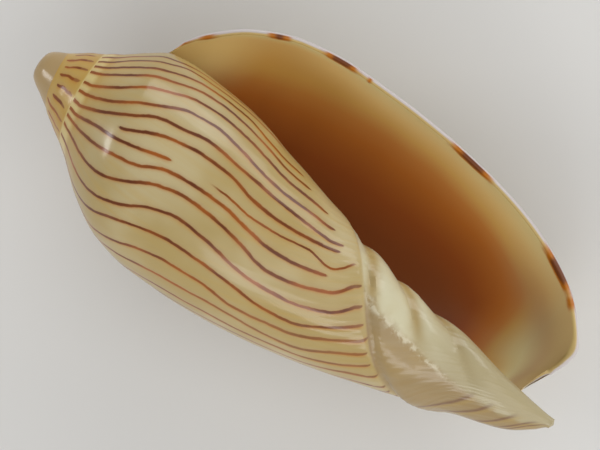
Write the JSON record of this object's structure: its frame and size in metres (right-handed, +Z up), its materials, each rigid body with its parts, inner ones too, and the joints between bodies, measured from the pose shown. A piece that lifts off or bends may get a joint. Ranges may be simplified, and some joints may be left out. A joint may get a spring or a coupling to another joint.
{
  "type": "volute shell",
  "caption": "Smooth volute sea shell with a short blunt spire, a wide open mouth, plaits on its pillar and brown axial lines, lying on its back.",
  "frame": {"origin": "middle of the small flat spot under the back, on the ground", "axes": "+X along the coiling axis from the spire to the front end, +Y to the side of the outer lip, +Z up out of the open mouth"},
  "size_m": [0.0904, 0.0427, 0.0347],
  "materials": {
    "shell": "glossy natural shell, cream with wavy brown axial lines and a red-brown mouth"
  },
  "bodies": {
    "root": {"shell": "shell"}
  },
  "joints": []
}
